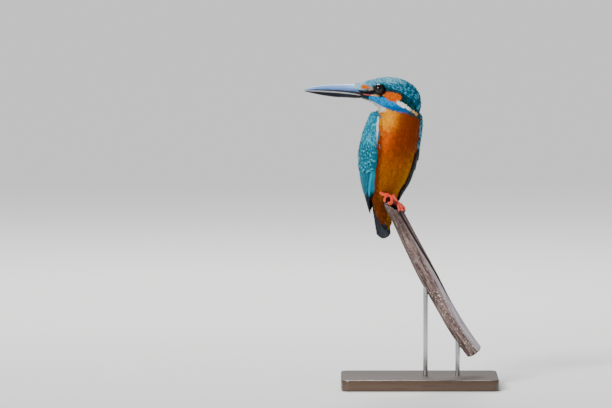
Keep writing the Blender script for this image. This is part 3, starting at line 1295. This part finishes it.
def makeFoot(plan):  # a leg and its toes as one skin
    parts, lines = [], []
    for points in [plan["leg"]] + [[plan["leg"][-1]] + toe for toe in plan["toes"]]:
        line, _, length = evenly(points, feetPlan["samples"])

        def thick(share, isLeg=points is plan["leg"], length=length):  # pads swell between the joints
            pads = feetPlan["padHeight"] * math.cos(share * length * 2 * math.pi / feetPlan["padEvery"])
            if isLeg:
                return feetPlan["tarsus"] * (1.15 - 0.1 * share)
            return feetPlan["toe"] * (1.12 - 0.3 * share + pads)

        parts.append(tube(points, thick, 16, 30, 0.06, 0.1, feetPlan["up"]))
        lines.append(line)
    mesh = fused(joinedMesh(parts), feetPlan["voxel"], 2)
    tree = treeOver(np.concatenate(lines))
    along = np.array([tree.find(point)[1] % feetPlan["samples"] * 0.2 for point in coordinates(mesh)])
    note(mesh, "Straight", 0 * along, 0 * along, along)
    return mesh


def makeClaws(plan):
    def thick(share):
        return blend(feetPlan["claw"]["radius"], feetPlan["claw"]["tip"], share)

    return joinedMesh([tube(clawCurve([plan["leg"][-1]] + toe), thick, 12, 16, 0.1, 0.05, feetPlan["up"])
                       for toe in plan["toes"]])


coralMaterial = coralFinish()
clawMaterial = grainFinish("darkClaw", (0.012, 0.009, 0.008), (0.07, 0.045, 0.035), 1, (0.3, 0.08),
                           stretch=(900, 900, 200), Roughness=0.35, Coat_Weight=0.2)
soleMaterial = grainFinish("soleShade", (0.004, 0.002, 0.002), (0.03, 0.008, 0.006), 900, (0.5, 0.2),
                           eased=(0.45, 0.8), Roughness=0.8, Specular_IOR_Level=0.1)
finishPiece("soleRight", makeSole(feetPlan["sole"]), soleMaterial)
for name in ("right", "left"):
    finishPiece("foot_" + name + "_skin", makeFoot(feetPlan[name]), coralMaterial,
                ("leg_" + name, "foot_" + name))
    finishPiece("claws_" + name, makeClaws(feetPlan[name]), clawMaterial,
                ["claw_%s_%d" % (name, i) for i in (1, 2, 3, 4)])
print("feet made")


# Cane

def middleOf(edges):
    return sum((v.co for e in edges for v in e.verts), Vector()) / (2 * len(edges))


def makeCane():
    plan = canePlan
    stations, ribs = plan["stations"], plan["ribs"]
    centres, ahead, length = evenly(plan["spine"], stations)
    front = flattened(np.tile([0, -1.0, 0], (stations, 1)), ahead)
    left = np.cross(ahead, front)
    own = np.random.default_rng(9)
    phases = own.random((ribs, 2)) * 6.3
    counts = own.integers(5, 26, ribs)

    def place(share, angles):
        k = int(round(share * (stations - 1)))
        turn = math.radians(blend(*plan["turn"], min(1, share * 2)))
        off = (angles - turn + math.pi) % (2 * math.pi) - math.pi
        depth = plan["groove"] * float(smoothStep(plan["grooveEnd"], 0.3, share))
        waves = sum(np.sin(angles * c + a + share * 3 * math.sin(b)) / c for c, (a, b) in zip(counts, phases))
        r = float(through(plan["radius"], share)) - depth * peak(off, 0, plan["grooveWidth"])
        r = (r + plan["ribHeight"] * waves) * domed((1 - share) / plan["dome"])
        ring = np.outer(np.cos(angles), front[k]) + np.outer(np.sin(angles), left[k])
        return centres[k] + r[:, None] * ring

    bm = sweep(plan["sides"], stations, place)
    inside = bm.verts.layers.float_vector.new("Inside")
    for at, facing in plan["cuts"]:
        bmesh.ops.bisect_plane(bm, geom=bm.verts[:] + bm.edges[:] + bm.faces[:], dist=1e-7,
                               plane_co=Vector(at) * mm, plane_no=Vector(facing).normalized(),
                               clear_outer=True)
    rim = [e for e in bm.edges if e.is_boundary]
    along, torn = Vector(ahead[12]), np.random.default_rng(4)  # the cane's own way, just under its torn end
    middle = middleOf(rim)
    for inward, down, ragged, dark in plan["torn"]:
        made = bmesh.ops.extrude_edge_only(bm, edges=rim)["geom"]
        rim = [e for e in made if isinstance(e, bmesh.types.BMEdge)]
        for vert in sorted({v for e in rim for v in e.verts}, key=lambda v: v.co[:]):
            inTo = middle - vert.co
            inTo -= along * inTo.dot(along)
            vert.co += inTo * inward + along * (down + ragged * float(torn.normal())) * mm
            vert[inside] = (dark, 0, 0)
        middle = middleOf(rim)
    bmesh.ops.holes_fill(bm, edges=rim, sides=400)
    mesh = grownMesh(smoothed(bm))
    # how far round from the groove each point is, for the stain in it and the weathered strip beside it
    line = evenly(plan["spine"], 400)[0]
    tree, points = treeOver(line), coordinates(mesh)
    near = np.array([tree.find(point)[1] for point in points])
    share = near / 399
    k = np.clip((share * (stations - 1)).astype(int), 0, stations - 1)
    out = points - line[near]
    angles = np.degrees(np.arctan2((out * left[k]).sum(1), (out * front[k]).sum(1)))
    turn = blend(*plan["turn"], np.minimum(1, share * 2))
    note(mesh, "Groove", (angles - turn + 180) % 360 - 180, angles, share * length)
    return mesh


def caneFinish():
    finish = Finish("driedCane", Roughness=0.85, Specular_IOR_Level=0.3)
    straight, where = finish.attribute("Straight"), finish.place()
    off, angle, run = finish.apart(finish.attribute("Groove"))
    inside = finish.apart(finish.attribute("Inside"))[0]
    fibre = finish.noise(finish.stretched(straight, 9, 9, 7), 1.3, 6, 0.65)
    coarse = finish.noise(finish.stretched(straight, 3, 3, 7), 1, 5, 0.55)
    patches = finish.noise(finish.stretched(straight, 2, 2, 10), 1, 4)
    spots = finish.node("ShaderNodeTexVoronoi", {"Vector": where, "Scale": 520})
    many, fleck = finish.noise(where, 90), finish.noise(where, 620, 4, 0.6)
    # the weathered strip widens down the cane, from the groove round to the front
    wide = run.between(10, 100, 12, 52)
    strip = off.math("MAXIMUM", off.between(0, 6), run.between(78, 96)) * (off / wide).between(1.2, 0.5)
    strip = strip * off.between(-120, -70) * (0.3 + fibre.between(0.34, 0.56) * 0.6)
    lichen = spots.between(0.3, 0.2) * many.between(0.56, 0.62) * run.between(28, 60) * off.between(4, 24)
    lichen = lichen + spots.between(0.24, 0.16) * run.between(72, 92) * off.between(24, 48)
    finish.colour(
        (0.085, 0.052, 0.045), ((0.3, 0.205, 0.19), fibre.between(0.36, 0.64)),
        ((0.045, 0.026, 0.026), coarse.between(0.48, 0.6) * 0.8),
        ((0.42, 0.33, 0.3), patches.between(0.55, 0.68) * 0.4),
        ((0.05, 0.03, 0.022), run.between(42, 16) * (0.5 + fibre.between(0.6, 0.4) * 0.35)),
        ((0.035, 0.022, 0.02), fleck.between(0.54, 0.66) * 0.45),
        ((0.46, 0.36, 0.32), fleck.between(0.46, 0.36) * 0.3),
        ((0.56, 0.5, 0.56), strip),
        ((0.02, 0.009, 0.009), off.between(-17, -8) * off.between(15, 6) * run.between(96, 70) * 0.95),
        ((0.16, 0.11, 0.115), off.between(-8, -20) * run.between(90, 70) * 0.7),
        ((0.03, 0.02, 0.018), angle.between(34, 80) * angle.between(150, 120) * 0.75),
        ((0.75, 0.68, 0.5), lichen * 0.9),
        ((0.5, 0.4, 0.34), inside.between(-0.1, -0.8) * fibre.between(0.3, 0.6)),
        ((0.008, 0.005, 0.005), inside.between(0.15, 0.6)))
    return finish.bumped(fibre * 0.8 + coarse * 0.3 + lichen * 0.4, 0.8, 0.5)


finishPiece("caneSurface", makeCane(), caneFinish(), ("perch",))
print("cane made")


# Stand

standPlan = {"length": 112, "depth": 78, "height": 8, "corner": 6, "chamfer": 1.2, "sharpOver": 50,
             "rod": 1.6, "rodChamfer": 0.2, "sunk": 4.5, "short": 2.5, "places": (0.47, 0.83)}


def bevel(bm, edges, offset, segments):
    bmesh.ops.bevel(bm, geom=edges, offset=offset * mm, segments=segments, profile=0.5, affect="EDGES",
                    material=-1)


def withSharpEdges(bm):
    mesh = grownMesh(bm)
    mesh.shade_smooth()
    mesh.set_sharp_from_angle(angle=math.radians(standPlan["sharpOver"]))
    return mesh


def makeBase():
    plan = standPlan
    bm = bmesh.new()
    bmesh.ops.create_cube(bm, size=1)
    bmesh.ops.scale(bm, verts=bm.verts, vec=Vector((plan["length"], plan["depth"], plan["height"])) * mm)
    bmesh.ops.translate(bm, verts=bm.verts, vec=(0, 0, plan["height"] / 2 * mm))
    bevel(bm, [e for e in bm.edges if abs(e.verts[0].co.z - e.verts[1].co.z) > 1e-4], plan["corner"], 10)
    bevel(bm, [e for e in bm.edges if abs(e.verts[0].co.z - e.verts[1].co.z) < 1e-6], plan["chamfer"], 4)
    bmesh.ops.recalc_face_normals(bm, faces=bm.faces)
    return withSharpEdges(bm)


def makeRod(share):  # up from the base to the cane, at a share of the cane's length
    plan = standPlan
    x, y, z = evenly(canePlan["spine"], 401)[0][int(round(share * 400))]
    bottom, top = plan["height"] - plan["sunk"], z - plan["short"]
    bm = bmesh.new()
    bmesh.ops.create_cone(bm, cap_ends=True, segments=32, radius1=plan["rod"] * mm, radius2=plan["rod"] * mm,
                          depth=(top - bottom) * mm)
    bmesh.ops.translate(bm, verts=bm.verts, vec=Vector((x, y, (top + bottom) / 2)) * mm)
    rims = [e for e in bm.edges if len(e.link_faces) == 2 and any(len(f.verts) > 4 for f in e.link_faces)]
    bevel(bm, rims, plan["rodChamfer"], 2)
    return withSharpEdges(bm)


def walnutFinish():
    finish = Finish("walnut", Roughness=0.4, Coat_Weight=0.35, Coat_Roughness=0.2)
    where = finish.place()
    warp = finish.noise(finish.stretched(where, 8, 40, 40), 1)
    grain = finish.wave(finish.stretched(where, 1.2, 22, 12), 1.6, 7, 4, 1.4, bands_direction="Y")
    pores = finish.noise(finish.stretched(where, 60, 1500, 1500), 1)
    finish.colour((0.045, 0.022, 0.012), ((0.1, 0.05, 0.026), grain * 0.45 + warp * 0.5),
                  ((0.014, 0.007, 0.004), pores.between(0.6, 0.72) * 0.7))
    finish.set("Roughness", pores.between(0.4, 0.8, 0.34, 0.52))
    return finish.bumped(pores, 0.25, 0.1)


finishPiece("stand_base_wood", makeBase(), walnutFinish(), ("stand_base",))
steelMaterial = grainFinish("brushedSteel", (0.42, 0.43, 0.44), (0.6, 0.61, 0.62), 1, (0.1, 0.02),
                            stretch=(500, 500, 9000), rough=(0.24, 0.38), Metallic=1.0, Roughness=0.3)
for i, share in enumerate(standPlan["places"], 1):
    finishPiece("stand_rod_%d_steel" % i, makeRod(share), steelMaterial, ("stand_rod_%d" % i,))
print("stand made")
